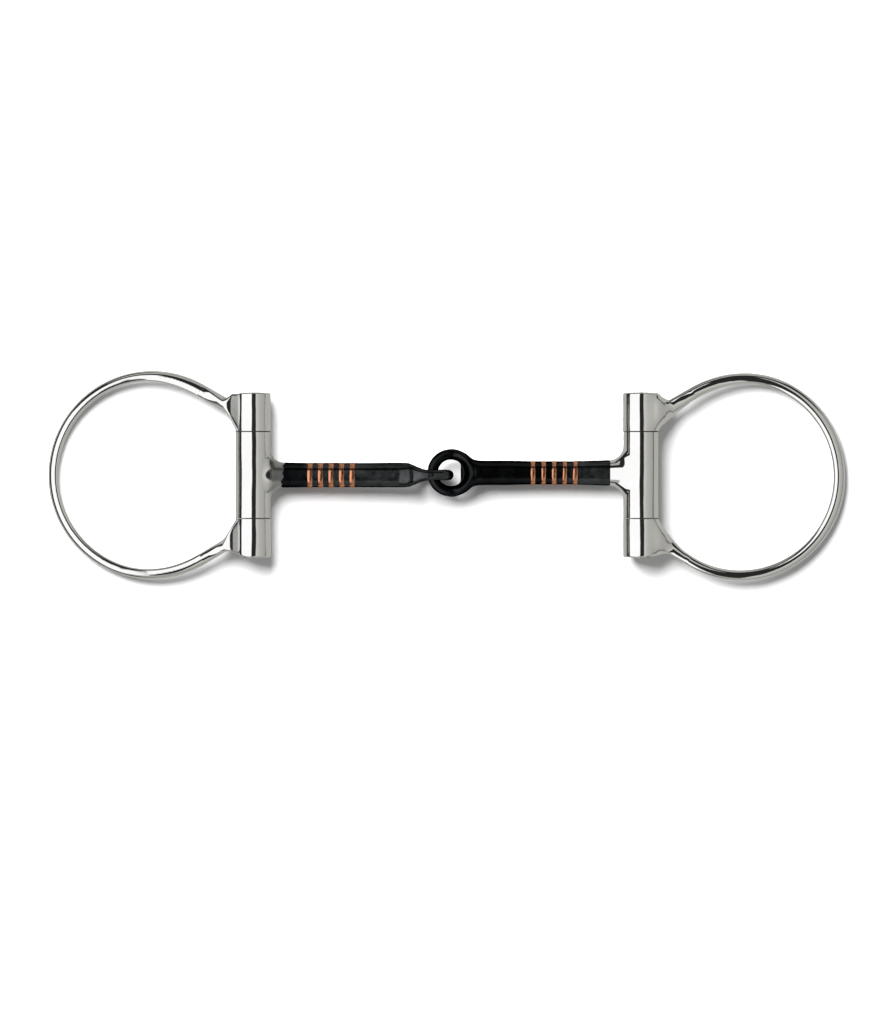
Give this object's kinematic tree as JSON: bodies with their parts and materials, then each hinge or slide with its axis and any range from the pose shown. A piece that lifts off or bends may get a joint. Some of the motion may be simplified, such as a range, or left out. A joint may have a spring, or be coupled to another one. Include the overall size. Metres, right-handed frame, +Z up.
{
  "type": "dee ring snaffle bit",
  "caption": "Single-jointed dee ring snaffle bit: black iron cannons with copper inlays and linked eyes, turning on hinge barrels of polished steel ring cheeks.",
  "frame": {"origin": "on the table under the mouthpiece, midway between the two hinge pins, with the bit lying flat", "axes": "+X along the mouthpiece to the right ring, +Y along the hinge barrels to the upper knuckles, +Z up from the table"},
  "size_m": [0.2878, 0.0752, 0.0171],
  "materials": {
    "polished_steel": "polished stainless steel",
    "pin_steel": "ground flush",
    "black_iron": "blackened sweet iron, satin",
    "copper": "copper, worn smooth"
  },
  "bodies": {
    "right_mouthpiece": {"right_cannon": "black_iron", "right_sleeve": "polished_steel", "right_copper_band_1": "copper", "right_copper_band_2": "copper", "right_copper_band_3": "copper", "right_copper_band_4": "copper", "right_copper_band_5": "copper"},
    "left_mouthpiece": {"left_cannon": "black_iron", "left_sleeve": "polished_steel", "left_copper_band_1": "copper", "left_copper_band_2": "copper", "left_copper_band_3": "copper", "left_copper_band_4": "copper", "left_copper_band_5": "copper"},
    "left_cheek": {"left_ring": "polished_steel", "left_upper_knuckle": "polished_steel", "left_lower_knuckle": "polished_steel", "left_hinge_pin": "pin_steel"},
    "right_cheek": {"right_ring": "polished_steel", "right_upper_knuckle": "polished_steel", "right_lower_knuckle": "polished_steel", "right_hinge_pin": "pin_steel"}
  },
  "joints": [
    {"name": "centre_fold", "type": "hinge", "parent": "right_mouthpiece", "child": "left_mouthpiece", "pos_m": [-0.00515, 0, 0.0063], "axis": [0, 1, 0], "range_deg": [-60, 60]},
    {"name": "left_ring_swing", "type": "hinge", "parent": "left_mouthpiece", "child": "left_cheek", "pos_m": [-0.0698, 0, 0.0063], "axis": [0, 1, 0], "range_deg": [-115, 115]},
    {"name": "right_ring_swing", "type": "hinge", "parent": "right_mouthpiece", "child": "right_cheek", "pos_m": [0.0698, 0, 0.0063], "axis": [0, 1, 0], "range_deg": [-115, 115]}
  ]
}
